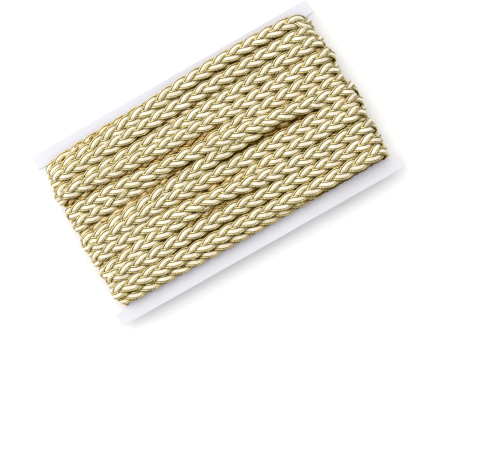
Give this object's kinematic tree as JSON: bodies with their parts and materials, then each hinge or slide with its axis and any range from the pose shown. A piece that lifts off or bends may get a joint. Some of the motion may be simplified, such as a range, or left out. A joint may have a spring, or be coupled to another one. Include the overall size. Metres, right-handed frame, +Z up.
{
  "type": "metallic braid trim wound on a card",
  "caption": "Plaited gold and white braid trim wound in overlapping rows round a flat white card with notched ends.",
  "frame": {"origin": "on the resting plane, under the middle of the card", "axes": "+X along the card's long side, +Y across the card, +Z up out of the front of the winding"},
  "size_m": [0.2, 0.123, 0.02],
  "materials": {
    "card": "smooth white card, slightly satin",
    "braid": "white satin cords plaited with twisted metallic gold cords"
  },
  "bodies": {
    "root": {"card": "card", "winding": "braid"}
  },
  "joints": []
}
